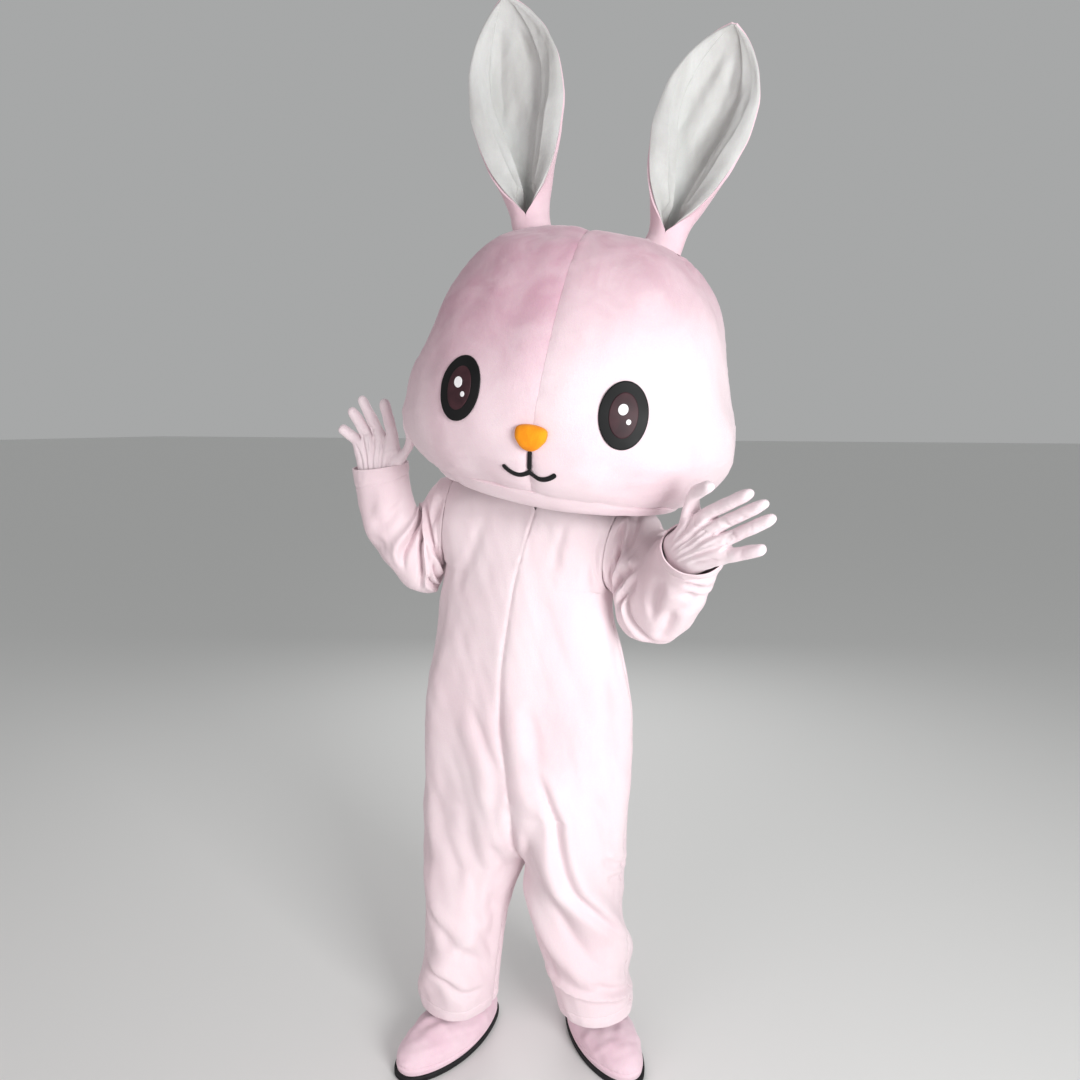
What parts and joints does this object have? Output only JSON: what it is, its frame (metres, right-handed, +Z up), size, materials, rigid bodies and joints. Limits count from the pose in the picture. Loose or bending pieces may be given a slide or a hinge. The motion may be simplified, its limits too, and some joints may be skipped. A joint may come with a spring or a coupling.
{
  "type": "rabbit mascot costume",
  "caption": "Worn mascot costume: large padded rabbit head with tall ears, one-piece plush suit, gloves and slip-on shoes, hollow for its wearer, hands raised beside the face.",
  "frame": {"origin": "middle of the neck opening, between the suit's collar line and the head, where the wearer carries the costume", "axes": "+Z up, -Y the way the costume faces, +X to the costume's own left"},
  "size_m": [0.927, 0.5854, 2.2332],
  "materials": {
    "pink_plush": "short matt pile",
    "white_plush": "short matt pile",
    "pink_jersey": "matt knit",
    "orange_plush": "matt",
    "black_vinyl": "satin gloss",
    "brown_vinyl": "satin gloss",
    "white_vinyl": "satin gloss",
    "black_rubber": "matt"
  },
  "bodies": {
    "root": {"suit_front_right": "pink_plush", "suit_back_right": "pink_plush", "sleeve_right": "pink_plush", "head_right": "pink_plush", "suit_front_left": "pink_plush", "suit_back_left": "pink_plush", "sleeve_left": "pink_plush", "head_left": "pink_plush", "head_base": "pink_plush", "ear_right_outer": "pink_plush", "ear_right_inner": "white_plush", "ear_left_outer": "pink_plush", "ear_left_inner": "white_plush", "eye_right": "black_vinyl", "iris_right": "brown_vinyl", "eye_light_large_right": "white_vinyl", "eye_light_small_right": "white_vinyl", "eye_left": "black_vinyl", "iris_left": "brown_vinyl", "eye_light_large_left": "white_vinyl", "eye_light_small_left": "white_vinyl", "nose": "orange_plush", "mouth_stem": "black_vinyl", "mouth_curve": "black_vinyl", "glove_right": "pink_jersey", "shoe_upper_right": "pink_plush", "shoe_sole_right": "black_rubber", "glove_left": "pink_jersey", "shoe_upper_left": "pink_plush", "shoe_sole_left": "black_rubber"}
  },
  "joints": []
}
